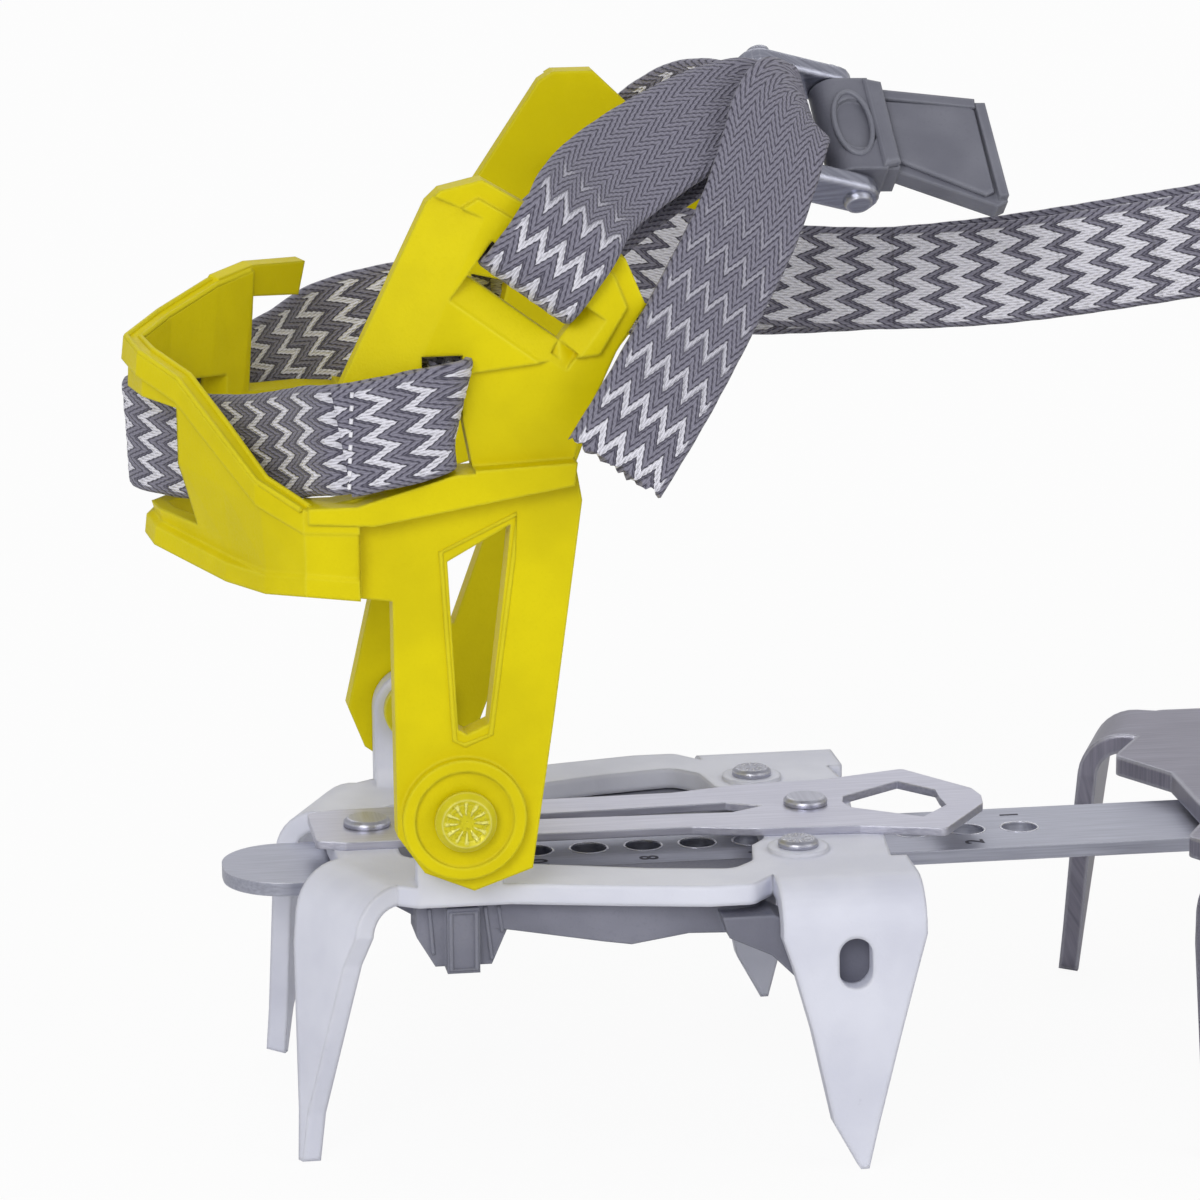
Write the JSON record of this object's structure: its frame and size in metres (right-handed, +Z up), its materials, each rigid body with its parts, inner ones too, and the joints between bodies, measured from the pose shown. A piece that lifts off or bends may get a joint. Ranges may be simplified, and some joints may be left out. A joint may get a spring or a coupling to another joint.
{
  "type": "mountaineering crampon",
  "caption": "Strap-on mountaineering crampon with a spiked heel unit, a spiked front unit, a numbered linking bar, flexible baskets and woven straps with a lever buckle.",
  "frame": {"origin": "middle of the footprint, on the ground plane that the lower spikes touch", "axes": "+X towards the toe, +Y across the boot, +Z up"},
  "size_m": [0.2965, 0.1082, 0.1531],
  "materials": {
    "white_frame": "powder coated, satin",
    "front_steel": "dark satin",
    "grey_plastic": "matte moulded",
    "rivet_steel": "pressed heads",
    "lock_steel": "fine brushed",
    "bar_steel": "brushed with bright edges",
    "yellow_plastic": "fine grained moulding",
    "yellow_rivet": "coated heads",
    "webbing": "woven zigzag webbing",
    "buckle_metal": "tumbled",
    "lever_grey": "satin",
    "ring_steel": "polished"
  },
  "bodies": {
    "heel_frame": {"heel_frame": "white_frame", "heel_snow_plate": "grey_plastic", "heel_plate_rivet_near": "rivet_steel", "heel_plate_rivet_far": "rivet_steel", "heel_pivot_rivet_near": "yellow_rivet", "heel_pivot_rivet_far": "yellow_rivet", "lock_rivet": "rivet_steel"},
    "lock": {"lock_plate": "lock_steel", "lock_stud": "rivet_steel"},
    "linking_bar": {"linking_bar": "bar_steel"},
    "heel_basket": {"heel_basket": "yellow_plastic", "rear_strap": "webbing", "buckle_strap": "webbing", "ankle_strap": "webbing", "tail_strap": "webbing", "buckle_ring": "buckle_metal", "buckle_pin": "buckle_metal", "outgoing_strap": "webbing", "returning_strap": "webbing"},
    "buckle_lever": {"buckle_lever": "lever_grey"},
    "front_frame": {"front_frame": "front_steel", "front_snow_plate": "grey_plastic", "front_plate_rivet_near": "rivet_steel", "front_plate_rivet_far": "rivet_steel", "toe_pivot_rivet_near": "yellow_rivet", "toe_pivot_rivet_far": "yellow_rivet"},
    "toe_basket": {"toe_basket": "yellow_plastic", "toe_ring": "ring_steel"}
  },
  "joints": [
    {"name": "heel_basket_hinge", "type": "hinge", "parent": "heel_frame", "child": "heel_basket", "pos_m": [-0.10498, 0, 0.052], "axis": [0, 1, 0], "range_deg": [-50, 40], "deforming": ["outgoing_strap", "returning_strap"]},
    {"name": "length_slide", "type": "slide", "parent": "heel_frame", "child": "linking_bar", "axis": [1, 0, 0], "range_m": [0, 0.04]},
    {"name": "lock_lift", "type": "hinge", "parent": "heel_frame", "child": "lock", "pos_m": [-0.11498, 0, 0.0413], "axis": [0, -1, 0], "range_deg": [0, 9.6], "deforming": ["lock_plate"]},
    {"name": "bar_flex", "type": "hinge", "parent": "linking_bar", "child": "front_frame", "pos_m": [0.01802, 0, 0.0392], "axis": [0, 1, 0], "range_deg": [-4, 4]},
    {"name": "toe_basket_hinge", "type": "hinge", "parent": "front_frame", "child": "toe_basket", "pos_m": [0.05502, 0, 0.052], "axis": [0, 1, 0], "range_deg": [-35, 15]},
    {"name": "buckle_lever_hinge", "type": "hinge", "parent": "heel_basket", "child": "buckle_lever", "pos_m": [-0.04607, -0.00262, 0.14021], "axis": [0.0531, -0.7425, -0.6677], "range_deg": [0, 60]}
  ],
  "couplings": [
    {"joint": "lock_lift", "follows": "length_slide", "rad_per_m": 4.1452}
  ]
}
